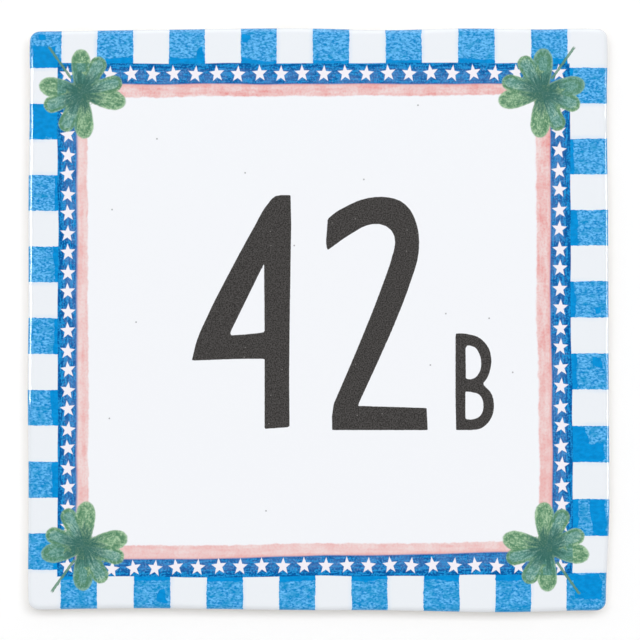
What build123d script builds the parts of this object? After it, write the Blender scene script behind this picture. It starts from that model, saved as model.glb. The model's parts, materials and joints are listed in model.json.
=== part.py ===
"""House number tile: one piece of pressed and glazed earthenware that is set on a wall.

Millimetres. The tile stands upright as it is read: X to the right, Z up, its decorated face
towards -Y and its keyed back on the wall plane at Y = 0, with the origin at the middle of the back.
"""
import os
from math import radians, tan

from build123d import *

# Body
TILE_WIDTH = 150.0
TILE_HEIGHT = 150.0
TILE_THICKNESS = 9.0

# Corners and edges
CORNER_RADIUS = 2.6
EDGE_ROLL = 1.5
SIDE_DRAFT = 0.35
BACK_ARRIS = 0.6

# How far each hand-pressed corner sits from the true rectangle, outwards along X and along Z
TOP_LEFT_SHIFT = (-0.3, -0.3)
TOP_RIGHT_SHIFT = (-0.06, 0.35)
BOTTOM_RIGHT_SHIFT = (-0.42, 0.34)
BOTTOM_LEFT_SHIFT = (0.1, 0.05)

# How far each side bows out, or in where negative, at even stations going clockwise round the face
TOP_BOW = (0.22, 0.38, 0.48, 0.46, -0.02, 0.32, 0.03)
RIGHT_BOW = (-0.05, 0.2, 0.4, 0.5, 0.6, 0.76, 0.7)
BOTTOM_BOW = (0.43, 0.4, 0.06, 0.08, -0.1, -0.28, -0.27)
LEFT_BOW = (0.06, 0.13, 0.35, 0.23, 0.26, 0.28, 0.02)

# Key pattern pressed into the back, which holds the wall adhesive
KEY_CELLS_ACROSS = 6
KEY_CELLS_UP = 6
KEY_MARGIN = 9.0
KEY_RIB = 3.6
KEY_DEPTH = 0.9
KEY_CORNER = 1.6
KEY_DRAFT_ANGLE = 25.0


def bowed_side(start: Vector, end: Vector, bows: tuple) -> Edge:
    """One side of the outline, smooth through even stations that are set off from the straight line."""
    run = end - start
    outward = Vector(-run.Y, run.X).normalized()
    step = run * (1 / (len(bows) + 1))
    stations = [start + step * (place + 1) + outward * bow for place, bow in enumerate(bows)]
    return Spline(start, *stations, end, tangents=(run, run))


def outline(inset: float) -> Face:
    """The tile's outline, clockwise from the top left corner, drawn in by an inset all round."""
    half_width = TILE_WIDTH / 2 - inset
    half_height = TILE_HEIGHT / 2 - inset
    corners = [
        Vector(-half_width - TOP_LEFT_SHIFT[0], half_height + TOP_LEFT_SHIFT[1]),
        Vector(half_width + TOP_RIGHT_SHIFT[0], half_height + TOP_RIGHT_SHIFT[1]),
        Vector(half_width + BOTTOM_RIGHT_SHIFT[0], -half_height - BOTTOM_RIGHT_SHIFT[1]),
        Vector(-half_width - BOTTOM_LEFT_SHIFT[0], -half_height - BOTTOM_LEFT_SHIFT[1]),
    ]
    radius = CORNER_RADIUS - inset
    edges = []
    for place, bows in enumerate((TOP_BOW, RIGHT_BOW, BOTTOM_BOW, LEFT_BOW)):
        before, here, after, beyond = (corners[(place + shift) % 4] for shift in (-1, 0, 1, 2))
        start = here + tangent_run(before, here, after, radius)
        end = after + tangent_run(beyond, after, here, radius)
        corner_end = after + tangent_run(here, after, beyond, radius)
        edges.append(bowed_side(start, end, bows))
        edges.append(TangentArc(end, corner_end, tangent=after - here))
    return Face(Wire(edges))


def tangent_run(before: Vector, corner: Vector, after: Vector, radius: float) -> Vector:
    """From a corner to where its rounding of the given radius meets the side towards the next corner."""
    turn = radians((corner - before).get_angle(after - corner))
    return (after - corner).normalized() * radius * tan(turn / 2)


def pressed_body() -> Part:
    """The slab, drawn in towards its back, with the glaze rolled over the front edge."""
    back = Plane.XZ * outline(SIDE_DRAFT)
    front = Plane.XZ.offset(TILE_THICKNESS) * outline(0)
    body = loft([back, front], ruled=True)
    front_edges = body.faces().sort_by(Axis.Y)[0].edges()
    body = fillet(front_edges, EDGE_ROLL)
    back_edges = body.faces().sort_by(Axis.Y)[-1].edges()
    return chamfer(back_edges, BACK_ARRIS)


def key_pockets() -> list:
    """Shallow pockets with cut corners in even rows, parted by ribs, with walls that slope for the press."""
    cell_width = (TILE_WIDTH - 2 * KEY_MARGIN - (KEY_CELLS_ACROSS - 1) * KEY_RIB) / KEY_CELLS_ACROSS
    cell_height = (TILE_HEIGHT - 2 * KEY_MARGIN - (KEY_CELLS_UP - 1) * KEY_RIB) / KEY_CELLS_UP
    places = GridLocations(cell_width + KEY_RIB, cell_height + KEY_RIB, KEY_CELLS_ACROSS, KEY_CELLS_UP)
    cell = Rectangle(cell_width, cell_height)
    cell = chamfer(cell.vertices(), KEY_CORNER)
    return [extrude(Plane.XZ * (place * cell), KEY_DEPTH, taper=KEY_DRAFT_ANGLE) for place in places]


def number_tile() -> Part:
    """The whole tile with the key pattern cut from its back."""
    return pressed_body() - key_pockets()


os.makedirs("parts", exist_ok=True)
export_step(number_tile(), "parts/number_tile.step")
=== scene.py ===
"""The looks of a house number tile: printed glaze over a pressed clay body, in a plain studio.

Lengths are metres in the tile's own frame: X to the reader's right, Z up, the printed face towards -Y and
the back on the wall plane at Y = 0. The print is laid out in millimetres of X and Z on the face.
"""
from __future__ import annotations

import json
import logging
from abc import ABC, abstractmethod
from dataclasses import dataclass, field
from enum import Enum, IntEnum
from functools import reduce
from math import cos, pi, radians, sin, tan
from typing import Dict, List, Optional, Sequence, Tuple, Union

import bpy
import numpy as np
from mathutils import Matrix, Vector

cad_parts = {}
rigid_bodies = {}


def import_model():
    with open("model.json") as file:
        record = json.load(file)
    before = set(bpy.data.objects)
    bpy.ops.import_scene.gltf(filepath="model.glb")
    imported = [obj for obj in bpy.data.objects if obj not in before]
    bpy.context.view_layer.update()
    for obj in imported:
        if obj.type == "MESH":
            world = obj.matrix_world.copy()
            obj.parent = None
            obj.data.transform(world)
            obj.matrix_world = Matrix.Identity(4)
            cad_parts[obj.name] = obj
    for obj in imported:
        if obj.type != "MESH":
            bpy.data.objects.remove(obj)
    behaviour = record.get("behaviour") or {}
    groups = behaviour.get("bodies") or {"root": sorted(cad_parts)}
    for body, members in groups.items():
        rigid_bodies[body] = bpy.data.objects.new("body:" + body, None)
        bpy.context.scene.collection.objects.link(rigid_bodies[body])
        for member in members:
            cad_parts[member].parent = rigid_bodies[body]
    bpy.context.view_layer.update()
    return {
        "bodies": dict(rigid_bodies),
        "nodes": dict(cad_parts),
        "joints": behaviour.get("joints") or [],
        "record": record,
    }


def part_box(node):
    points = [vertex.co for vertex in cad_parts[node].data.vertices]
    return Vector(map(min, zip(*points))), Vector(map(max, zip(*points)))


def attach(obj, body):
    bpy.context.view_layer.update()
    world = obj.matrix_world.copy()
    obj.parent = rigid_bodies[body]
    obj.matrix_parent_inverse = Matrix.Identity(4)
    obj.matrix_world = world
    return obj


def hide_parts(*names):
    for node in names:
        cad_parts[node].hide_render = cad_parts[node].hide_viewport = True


LOG = logging.getLogger("house_number_tile")
MM = 0.001
NODE = "number_tile"

Pair = Tuple[float, float]
Triple = Tuple[float, float, float]
Rgba = Tuple[float, float, float, float]
Term = Union["Signal", float]
SideRow = Union["CheckRow", "StarRow"]


class Colour(Enum):
    """Colours as they look under plain light, in display red, green and blue of 255."""

    GLAZE = (247, 249, 253)
    CHECK_WHITE = (240, 244, 249)
    CHECK_PALE = (222, 234, 248)
    CRAYON_DARK = (0, 134, 206)
    CRAYON_LIGHT = (112, 197, 251)
    CRAYON_PRESSED = (8, 146, 206)
    MARKER_DARK = (0, 135, 208)
    MARKER_LIGHT = (4, 153, 226)
    BAND_DEEP = (0, 88, 160)
    BAND_CLEAR = (28, 147, 215)
    BAND_MILKY = (88, 136, 197)
    BAND_CHALK = (150, 180, 224)
    STAR = (247, 243, 250)
    STRIPE_SALMON = (234, 152, 149)
    STRIPE_PINK = (243, 220, 219)
    INK_DARK = (52, 50, 49)
    INK_LIGHT = (83, 81, 80)
    INK_SPECK = (132, 130, 128)
    LEAF = (108, 155, 121)
    LEAF_BRIGHT = (170, 204, 166)
    LEAF_RIM = (84, 135, 101)
    WASH_DARK = (98, 150, 141)
    WASH_LIGHT = (152, 192, 184)
    LEAF_ON_BLUE = (74, 134, 124)
    LEAF_ON_BLUE_LIGHT = (108, 164, 162)
    LEAF_HEART = (54, 106, 97)
    STEM = (104, 148, 126)
    BLEMISH = (168, 169, 172)
    BISCUIT_DARK = (223, 214, 199)
    BISCUIT_LIGHT = (236, 229, 217)
    # Painted shade for the floors of the back's pockets
    BISCUIT_PAINTED_SHADE = (204, 192, 174)
    STAGE = (244, 244, 244)

    @property
    def rgba(self) -> Rgba:
        """The colour as the linear values that a shader socket takes, by the usual curve of displays.

        Returns:
            Red, green, blue and a full alpha.
        """
        share = np.array(self.value) / 255.0
        linear = np.where(share <= 0.04045, share / 12.92, ((share + 0.055) / 1.055) ** 2.4)
        return (*linear.tolist(), 1.0)


class SocketKind(Enum):
    """Kinds of value that a node group takes or gives."""

    NUMBER = "NodeSocketFloat"
    PLACE = "NodeSocketVector"
    COLOUR = "NodeSocketColor"


class Signal:
    """A value that varies over a surface. Arithmetic on it lays Math nodes on its board."""

    def __init__(self, board: Board, socket: bpy.types.NodeSocket) -> None:
        """Keeps the board and the output socket that carries the value."""
        self.board = board
        self.socket = socket

    def __add__(self, other: Term) -> Signal:
        """Sum."""
        return self.board.math("ADD", self, other)

    def __radd__(self, other: float) -> Signal:
        """Sum with a plain number first."""
        return self.board.math("ADD", other, self)

    def __sub__(self, other: Term) -> Signal:
        """Difference."""
        return self.board.math("SUBTRACT", self, other)

    def __rsub__(self, other: float) -> Signal:
        """Difference from a plain number."""
        return self.board.math("SUBTRACT", other, self)

    def __mul__(self, other: Term) -> Signal:
        """Product."""
        return self.board.math("MULTIPLY", self, other)

    def __rmul__(self, other: float) -> Signal:
        """Product with a plain number first."""
        return self.board.math("MULTIPLY", other, self)

    def __truediv__(self, other: Term) -> Signal:
        """Quotient."""
        return self.board.math("DIVIDE", self, other)

    def __mod__(self, other: Term) -> Signal:
        """Remainder that is never negative."""
        return self.board.math("FLOORED_MODULO", self, other)

    def __abs__(self) -> Signal:
        """Size without its sign."""
        return self.board.math("ABSOLUTE", self)

    def apply(self, operation: str, *others: Term) -> Signal:
        """The result of any other Math node operation, with this value first."""
        return self.board.math(operation, self, *others)

    def above(self, limit: Term) -> Signal:
        """1 where the value is over the limit, 0 elsewhere."""
        return self.board.math("GREATER_THAN", self, limit)

    def rise(self, low: Term, high: Term) -> Signal:
        """0 up to low, 1 from high on, and smooth between them."""
        return self.board.ramp(self, low, high, 0.0, 1.0)

    def fall(self, low: Term, high: Term) -> Signal:
        """1 up to low, 0 from high on, and smooth between them."""
        return self.board.ramp(self, low, high, 1.0, 0.0)

    def split(self) -> Tuple[Signal, Signal, Signal]:
        """The three numbers of a place."""
        node = self.board.node("ShaderNodeSeparateXYZ", {0: self})
        return tuple(Signal(self.board, output) for output in node.outputs)


class Board:
    """Lays and wires the nodes of one shader tree."""

    # A Mix node has sockets for numbers and places too: these are the share and the two colours
    mix_inputs = (0, 6, 7)
    mix_output = 2

    def __init__(self, tree: bpy.types.NodeTree) -> None:
        """Keeps the tree that nodes are laid in."""
        self.tree = tree

    def feed(self, socket: bpy.types.NodeSocket, value: Union[Term, Triple, Rgba]) -> None:
        """Wires a signal to an input socket, or sets the socket to a plain value.

        Args:
            socket: The input.
            value: What it takes.
        """
        if isinstance(value, Signal):
            self.tree.links.new(value.socket, socket)
        else:
            socket.default_value = value

    def node(self, kind: str, inputs: Optional[dict] = None, **settings: object) -> bpy.types.Node:
        """Lays one node.

        Args:
            kind: The node's type name.
            inputs: Values or signals by input name or number.
            **settings: The node's own properties.

        Returns:
            The new node.
        """
        node = self.tree.nodes.new(kind)
        for name, value in settings.items():
            setattr(node, name, value)
        for name, value in (inputs or {}).items():
            self.feed(node.inputs[name], value)
        return node

    def math(self, operation: str, *terms: Term) -> Signal:
        """The result of one Math node."""
        node = self.node("ShaderNodeMath", dict(enumerate(terms)), operation=operation)
        return Signal(self, node.outputs[0])

    def vector(self, operation: str, *terms: Union[Signal, Triple], **named: Term) -> Signal:
        """The place that one Vector Math node gives."""
        node = self.node("ShaderNodeVectorMath", {**dict(enumerate(terms)), **named}, operation=operation)
        return Signal(self, node.outputs["Vector"])

    def ramp(self, value: Signal, low: Term, high: Term, start: float, end: float) -> Signal:
        """The value carried smoothly from one range to another.

        Args:
            value: The signal that is carried over.
            low: Value at and below which the result is start.
            high: Value at and above which the result is end.
            start: Result at the low end.
            end: Result at the high end.

        Returns:
            The new signal.
        """
        inputs = {"Value": value, "From Min": low, "From Max": high, "To Min": start, "To Max": end}
        node = self.node("ShaderNodeMapRange", inputs, interpolation_type="SMOOTHSTEP")
        return Signal(self, node.outputs["Result"])

    def mix(self, share: Term, under: Union[Signal, Colour], over: Union[Signal, Colour]) -> Signal:
        """One colour laid over another.

        Args:
            share: How much of the upper colour shows, from 0 to 1.
            under: The lower colour.
            over: The upper colour.

        Returns:
            The mixed colour.
        """
        first, second = (c.rgba if isinstance(c, Colour) else c for c in (under, over))
        node = self.node("ShaderNodeMix", data_type="RGBA")
        for number, value in zip(self.mix_inputs, (share, first, second)):
            self.feed(node.inputs[number], value)
        return Signal(self, node.outputs[self.mix_output])

    def place(self) -> Signal:
        """The object's own place in millimetres."""
        coordinates = self.node("ShaderNodeTexCoord")
        return self.stretch(Signal(self, coordinates.outputs["Object"]), (1 / MM,) * 3)

    def stretch(self, place: Signal, factors: Triple) -> Signal:
        """A place with each of its three numbers multiplied."""
        return self.vector("MULTIPLY", place, factors)

    def gap(self, place: Signal, point: Triple) -> Signal:
        """Distance from a place to a point."""
        node = self.node("ShaderNodeVectorMath", {0: place, 1: point}, operation="DISTANCE")
        return Signal(self, node.outputs["Value"])

    def cloud(self, place: Signal, size: Term, seed: float = 0.0, detail: float = 2.0) -> Signal:
        """Soft random cloud around one half.

        Args:
            place: Where it is read, in millimetres.
            size: Width of its largest shapes in millimetres.
            seed: Shift that gives another cloud.
            detail: How many finer layers it holds.

        Returns:
            The cloud's value.
        """
        scale = 1.0 / size if isinstance(size, float) else self.math("DIVIDE", 1.0, size)
        inputs = {"Vector": place, "W": seed, "Scale": scale, "Detail": detail}
        node = self.node("ShaderNodeTexNoise", inputs, noise_dimensions="4D")
        return Signal(self, node.outputs[0])

    def field(self, name: str) -> Signal:
        """A number that the mesh carries at its vertices."""
        node = self.node("ShaderNodeAttribute", attribute_name=name)
        return Signal(self, node.outputs["Fac"])

    def ray(self, kind: str) -> Signal:
        """1 for rays of a kind that the Light Path node names, and 0 for others."""
        return Signal(self, self.node("ShaderNodeLightPath").outputs[f"Is {kind} Ray"])

    def seen(self) -> Signal:
        """1 for what the camera sees, straight or through glass, and 0 for light."""
        return self.ray("Camera").apply("MAXIMUM", self.ray("Transmission"))


class Effect(ABC):
    """A shader node group, built once and placed in each material with that material's own values."""

    title: str
    takes: Dict[str, SocketKind]
    gives: Dict[str, SocketKind]

    @abstractmethod
    def lay(self, board: Board, taken: Dict[str, Signal]) -> Dict[str, Signal]:
        """Lays the group's nodes.

        Args:
            board: Where the nodes are laid.
            taken: The group's inputs by name.

        Returns:
            The group's outputs by name.
        """

    def tree(self) -> bpy.types.NodeTree:
        """The group's node tree, which is laid the first time it is asked for.

        Returns:
            The tree.
        """
        made = bpy.data.node_groups.get(self.title)
        if made is not None:
            return made
        tree = bpy.data.node_groups.new(self.title, "ShaderNodeTree")
        for way, sockets in (("INPUT", self.takes), ("OUTPUT", self.gives)):
            for name, kind in sockets.items():
                tree.interface.new_socket(name, in_out=way, socket_type=kind.value)
        board = Board(tree)
        entry = board.node("NodeGroupInput")
        taken = {name: Signal(board, entry.outputs[name]) for name in self.takes}
        board.node("NodeGroupOutput", self.lay(board, taken))
        return tree

    def outputs(self, board: Board, **values: Union[Term, Rgba]) -> Dict[str, Signal]:
        """Places the group on a board.

        Args:
            board: Where the group is placed.
            **values: What its inputs take, by name.

        Returns:
            Its outputs by name.
        """
        node = board.node("ShaderNodeGroup", node_tree=self.tree())
        for name, value in values.items():
            board.feed(node.inputs[name], value)
        return {name: Signal(board, node.outputs[name]) for name in self.gives}

    def placed(self, board: Board, **values: Union[Term, Rgba]) -> Signal:
        """Places the group on a board and returns its first output."""
        return next(iter(self.outputs(board, **values).values()))


class HandLine(Effect):
    """Moves a place a little to and fro, so that lines ruled on it waver as if drawn by hand."""

    title = "hand line"
    takes = {"place": SocketKind.PLACE, "amount": SocketKind.NUMBER, "size": SocketKind.NUMBER}
    gives = {"place": SocketKind.PLACE}
    middle: Triple = (0.5, 0.5, 0.5)
    gain: float = 4.0
    detail: float = 1.0

    def lay(self, board: Board, taken: Dict[str, Signal]) -> Dict[str, Signal]:
        """Adds a cloud's three colours, taken about their middle, to the place.

        Args:
            board: Where the nodes are laid.
            taken: The place, how far it moves and the size of the waves.

        Returns:
            The moved place.
        """
        scale = board.math("DIVIDE", 1.0, taken["size"])
        inputs = {"Vector": taken["place"], "Scale": scale, "Detail": self.detail}
        noise = board.node("ShaderNodeTexNoise", inputs)
        centred = board.vector("SUBTRACT", Signal(board, noise.outputs["Color"]), self.middle)
        sway = board.vector("SCALE", centred, Scale=taken["amount"] * self.gain)
        return {"place": board.vector("ADD", taken["place"], sway)}


class Mottle(Effect):
    """Two tones of one pigment in random grains."""

    title = "mottled pigment"
    takes = {
        "place": SocketKind.PLACE,
        "grain": SocketKind.NUMBER,
        "dark": SocketKind.COLOUR,
        "light": SocketKind.COLOUR,
        "spread": SocketKind.NUMBER,
    }
    gives = {"colour": SocketKind.COLOUR}

    def lay(self, board: Board, taken: Dict[str, Signal]) -> Dict[str, Signal]:
        """Mixes the two tones by a cloud whose middle values are drawn apart.

        Args:
            board: Where the nodes are laid.
            taken: The place, the size of the grains, the two tones and how softly they part.

        Returns:
            The colour.
        """
        cloud = board.cloud(taken["place"], taken["grain"])
        share = cloud.rise(0.5 - taken["spread"], 0.5 + taken["spread"])
        return {"colour": board.mix(share, taken["dark"], taken["light"])}


class Specks(Effect):
    """Small round specks strewn thinly over the face."""

    title = "specks"
    takes = {
        "place": SocketKind.PLACE,
        "spacing": SocketKind.NUMBER,
        "radius": SocketKind.NUMBER,
        "share": SocketKind.NUMBER,
    }
    gives = {"speck": SocketKind.NUMBER}
    edge: Pair = (0.6, 1.0)

    def lay(self, board: Board, taken: Dict[str, Signal]) -> Dict[str, Signal]:
        """Keeps a share of the cells of a random net and marks a dot round the seed of each.

        Args:
            board: Where the nodes are laid.
            taken: The place, the cells' spacing, the dots' radius and the share that is kept.

        Returns:
            1 on the dots and 0 off them.
        """
        x, _, z = taken["place"].split()
        flat = board.node("ShaderNodeCombineXYZ", {0: x, 1: z})
        scale = board.math("DIVIDE", 1.0, taken["spacing"])
        inputs = {"Vector": Signal(board, flat.outputs[0]), "Scale": scale}
        cells = board.node("ShaderNodeTexVoronoi", inputs, voronoi_dimensions="2D")
        lot = Signal(board, cells.outputs["Color"]).split()[0]
        near = Signal(board, cells.outputs["Distance"]) * taken["spacing"] / taken["radius"]
        return {"speck": near.fall(*self.edge) * taken["share"].above(lot)}


class RuledFrame(Effect):
    """How far a place lies outside a four-sided frame line, with each side leaning by its own slope."""

    title = "ruled frame"
    sides = ("left", "right", "top", "bottom")
    takes = {
        "place": SocketKind.PLACE,
        **{side: SocketKind.NUMBER for side in sides},
        **{f"{side}_lean": SocketKind.NUMBER for side in sides},
    }
    gives = {"reach": SocketKind.NUMBER}

    def lay(self, board: Board, taken: Dict[str, Signal]) -> Dict[str, Signal]:
        """Takes the largest of the four distances beyond a side.

        Args:
            board: Where the nodes are laid.
            taken: The place, and the four sides' places and slopes.

        Returns:
            The distance, less than nothing inside the frame.
        """
        x, _, z = taken["place"].split()
        beyond_left = taken["left"] + taken["left_lean"] * z - x
        beyond_right = x - taken["right"] - taken["right_lean"] * z
        beyond_top = z - taken["top"] - taken["top_lean"] * x
        beyond_bottom = taken["bottom"] + taken["bottom_lean"] * x - z
        across = beyond_left.apply("MAXIMUM", beyond_right)
        upright = beyond_top.apply("MAXIMUM", beyond_bottom)
        return {"reach": across.apply("MAXIMUM", upright)}


class SideRows(Effect):
    """An effect that runs in a row along each side of the face, with numbers of its own on each."""

    left: SideRow
    right: SideRow
    top: SideRow
    bottom: SideRow

    def pick(self, share: Signal, off: Term, on: Term) -> Term:
        """The first value where the share is 0 and the second where it is 1."""
        return off + share * (on - off)

    def chosen(self, in_row: Signal, on_right: Signal, upper: Signal) -> Dict[str, Signal]:
        """The numbers of the nearest side's row, by name.

        Args:
            in_row: 1 in the top and bottom rows, 0 in the left and right ones.
            on_right: 1 on the right half of the face.
            upper: 1 on the upper half of the face.

        Returns:
            One signal for each field of the row.
        """
        found = {}
        rows = (self.left, self.right, self.top, self.bottom)
        for name in vars(self.left):
            left, right, top, bottom = (getattr(row, name) for row in rows)
            column = self.pick(on_right, left, right)
            found[name] = self.pick(in_row, column, self.pick(upper, bottom, top))
        return found


@dataclass(frozen=True)
class CheckRow:
    """One side's row of checks in millimetres: its first dividing line, its pitch and its bow.

    The bow moves a line on by its number times the count of lines before it and behind it.
    """

    start: float
    pitch: float
    bow: float
    colour_first: float


class Chequers(SideRows):
    """The chequered border, one check deep: 1 on coloured checks and 0 on white ones."""

    title = "chequers"
    takes = {"place": SocketKind.PLACE}
    gives = {"coloured": SocketKind.NUMBER, "border": SocketKind.NUMBER}
    left = CheckRow(start=65.1, pitch=-9.266, bow=0.0046, colour_first=0.0)
    right = CheckRow(start=65.1, pitch=-9.322, bow=0.0164, colour_first=1.0)
    top = CheckRow(start=-66.4, pitch=9.352, bow=-0.0083, colour_first=0.0)
    bottom = CheckRow(start=-66.65, pitch=9.35, bow=0.0101, colour_first=1.0)
    last_line: float = 14.0

    def lay(self, board: Board, taken: Dict[str, Signal]) -> Dict[str, Signal]:
        """Counts the lines up to a place and marks every other check. The corner checks run to the edge.

        Args:
            board: Where the nodes are laid.
            taken: The place.

        Returns:
            The mark, and the distance to the nearest dividing line.
        """
        x, _, z = taken["place"].split()
        in_row = abs(z).above(abs(x))
        row = self.chosen(in_row, x.above(0.0), z.above(0.0))
        way = (self.pick(in_row, z, x) - row["start"]) / row["pitch"]
        way = way - row["bow"] / row["pitch"] * way * (self.last_line - way)
        way = way.apply("MAXIMUM", -0.5).apply("MINIMUM", self.last_line + 0.5)
        count = way.apply("FLOOR")
        border = (0.5 - abs(way - count - 0.5)) * abs(row["pitch"])
        return {"coloured": (count + row["colour_first"]) % 2.0, "border": border}


class Streaks(Effect):
    """Soft streaks that run along the nearest side of the face, from 0 to 1."""

    title = "streaks"
    takes = {"place": SocketKind.PLACE, "width": SocketKind.NUMBER}
    gives = {"streak": SocketKind.NUMBER}
    length: float = 8.0
    seed: float = 4.0
    span: Pair = (0.38, 0.64)

    def lay(self, board: Board, taken: Dict[str, Signal]) -> Dict[str, Signal]:
        """Reads a cloud at a place that is drawn out along the side.

        Args:
            board: Where the nodes are laid.
            taken: The place and the streaks' width.

        Returns:
            How strong the streak is.
        """
        x, _, z = taken["place"].split()
        ways = ((1 / self.length, 1.0, 1.0), (1.0, 1.0, 1 / self.length))
        drawn = (board.stretch(taken["place"], way) for way in ways)
        level, standing = (board.cloud(place, taken["width"], self.seed) for place in drawn)
        upright = abs(x).above(abs(z))
        return {"streak": (level + upright * (standing - level)).rise(*self.span)}


@dataclass(frozen=True)
class StarRow:
    """One side's row of stars in millimetres: its first star, its pitch and the bowed line it keeps.

    Every other star is set on by the step along the row and by the lift across it.
    """

    start: float
    pitch: float
    line: float
    lean: float = 0.0
    bow: float = 0.0
    step: float = 0.0
    lift: float = 0.0


class StarRows(SideRows):
    """Small five-pointed stars in a row along each side of the frame, all about upright.

    The corner stars belong to the top and bottom rows, but for the lower left one, which ends its column.
    """

    title = "star rows"
    takes = {"place": SocketKind.PLACE}
    gives = {"star": SocketKind.NUMBER}
    left = StarRow(start=62.9, pitch=-5.063, line=-64.76, step=0.13)
    right = StarRow(start=64.13, pitch=-5.09, line=62.64, lean=-0.0092, step=-0.13)
    top = StarRow(start=-64.95, pitch=5.531, line=63.69, lean=0.0037, lift=0.08)
    bottom = StarRow(start=-64.35, pitch=5.525, line=-63.54, lean=0.0068, bow=-0.00019, lift=0.08)
    points: int = 5
    radius: float = 2.1
    waist: float = 0.43
    broad: float = 0.95
    tall: float = 1.06
    row_zone: float = 61.0
    column_zone: float = 61.8
    tilt: float = 0.085
    tilt_change: float = 0.6
    jitter: float = 0.06
    across_beat: float = 4.1
    up_beat: float = 6.3
    tilt_beat: float = 2.7
    edge: float = 0.09

    def lay(self, board: Board, taken: Dict[str, Signal]) -> Dict[str, Signal]:
        """Finds the nearest star's own place, and marks what lies inside that star.

        Args:
            board: Where the nodes are laid.
            taken: The place.

        Returns:
            1 on the stars and 0 off them.
        """
        x, _, z = taken["place"].split()
        corner = (-1.0 * x).above(self.column_zone) * (-1.0 * z).above(0.0)
        in_row = abs(z).above(self.row_zone) * (1.0 - corner)
        row = self.chosen(in_row, x.above(0.0), z.above(0.0))
        way = self.pick(in_row, z, x)
        count = ((way - row["start"]) / row["pitch"]).apply("ROUND")
        odd = (count % 2.0) * 2.0 - 1.0
        along = way - row["start"] - count * row["pitch"] - odd * row["step"]
        aside = self.pick(in_row, x, z) - row["line"] - (row["lean"] + row["bow"] * way) * way
        aside = aside - odd * row["lift"]
        across = self.pick(in_row, aside, along) + self.jitter * (count * self.across_beat).apply("SINE")
        up = self.pick(in_row, along, aside) + self.jitter * (count * self.up_beat).apply("SINE")
        tilt = self.tilt * (odd + self.tilt_change * (count * self.tilt_beat).apply("SINE"))
        return {"star": self.beyond(across / self.broad, up / self.tall, tilt).fall(-self.edge, self.edge)}

    def beyond(self, across: Signal, up: Signal, tilt: Signal) -> Signal:
        """How far a place lies outside a star about the origin.

        The place is folded to one half of one point, and measured to that point's side.

        Args:
            across: Places to the right of the star's middle.
            up: Places above it.
            tilt: How far the star is turned, in radians.

        Returns:
            The distance, less than nothing inside.
        """
        turns = (across.apply("ARCTAN2", up) + tilt) * (self.points / (2 * pi))
        fold = abs(turns - turns.apply("ROUND")) * (2 * pi / self.points)
        distance = (across * across + up * up).apply("SQRT")
        inner = self.waist * self.radius
        half_turn = pi / self.points
        slope = Vector((inner * sin(half_turn), self.radius - inner * cos(half_turn))).normalized()
        along = distance * fold.apply("COSINE") - self.radius
        return along * slope.x + distance * fold.apply("SINE") * slope.y


HAND_LINE = HandLine()
MOTTLE = Mottle()
SPECKS = Specks()
RULED_FRAME = RuledFrame()
CHEQUERS = Chequers()
STREAKS = Streaks()
STAR_ROWS = StarRows()


@dataclass(frozen=True)
class FrameLine:
    """One hand-ruled frame line: the four sides' places in millimetres and their slopes."""

    left: float
    right: float
    top: float
    bottom: float
    left_lean: float = 0.0
    right_lean: float = 0.0
    top_lean: float = 0.0
    bottom_lean: float = 0.0

    def reach(self, board: Board, place: Signal) -> Signal:
        """How far a place lies outside the line, in millimetres."""
        return RULED_FRAME.placed(board, place=place, **vars(self))


@dataclass(frozen=True)
class Cloud:
    """A soft random cloud around one half, with the width of its largest shapes in millimetres.

    The seed picks one of many such clouds, and the detail is how many finer layers it holds.
    """

    size: float
    seed: float
    detail: float = 2.0

    def at(self, board: Board, place: Signal) -> Signal:
        """The cloud's value at a place."""
        return board.cloud(place, self.size, self.seed, self.detail)

    def swing(self, board: Board, place: Signal) -> Signal:
        """How far the cloud's value lies over or under its middle."""
        return self.at(board, place) - 0.5


@dataclass(frozen=True)
class Pigment:
    """Two tones of one pigment, with the size of its grains in millimetres and how softly they part."""

    dark: Colour
    light: Colour
    grain: float
    spread: float

    def colour(self, board: Board, place: Signal) -> Signal:
        """The pigment's colour at a place."""
        tones = {"dark": self.dark.rgba, "light": self.light.rgba}
        return MOTTLE.placed(board, place=place, grain=self.grain, spread=self.spread, **tones)


@dataclass(frozen=True)
class WhiteGround:
    """The white field, with a few tiny grey blemishes at set places in millimetres."""

    blemishes: Sequence[Pair] = (
        (-53.3, 28.5), (-41.7, 46.8), (-18.9, 38.0), (11.8, 36.3), (25.8, 55.5), (44.2, 0.4), (33.0, 1.6),
        (29.0, -11.7), (50.3, -13.6), (-6.2, 19.2), (-47.1, -0.6), (-54.0, -25.5), (-13.5, -49.4),
    )
    blemish_edge: Pair = (0.1, 0.3)

    def colour(self, board: Board, place: Signal) -> Signal:
        """Marks a dot round each blemish.

        Args:
            board: Where the nodes are laid.
            place: Where the print is read, in millimetres.

        Returns:
            The field's colour.
        """
        flat = board.stretch(place, (1.0, 0.0, 1.0))
        gaps = [board.gap(flat, (x, 0.0, z)) for x, z in self.blemishes]
        nearest = reduce(lambda near, gap: near.apply("MINIMUM", gap), gaps)
        return board.mix(nearest.fall(*self.blemish_edge), Colour.GLAZE, Colour.BLEMISH)


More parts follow.
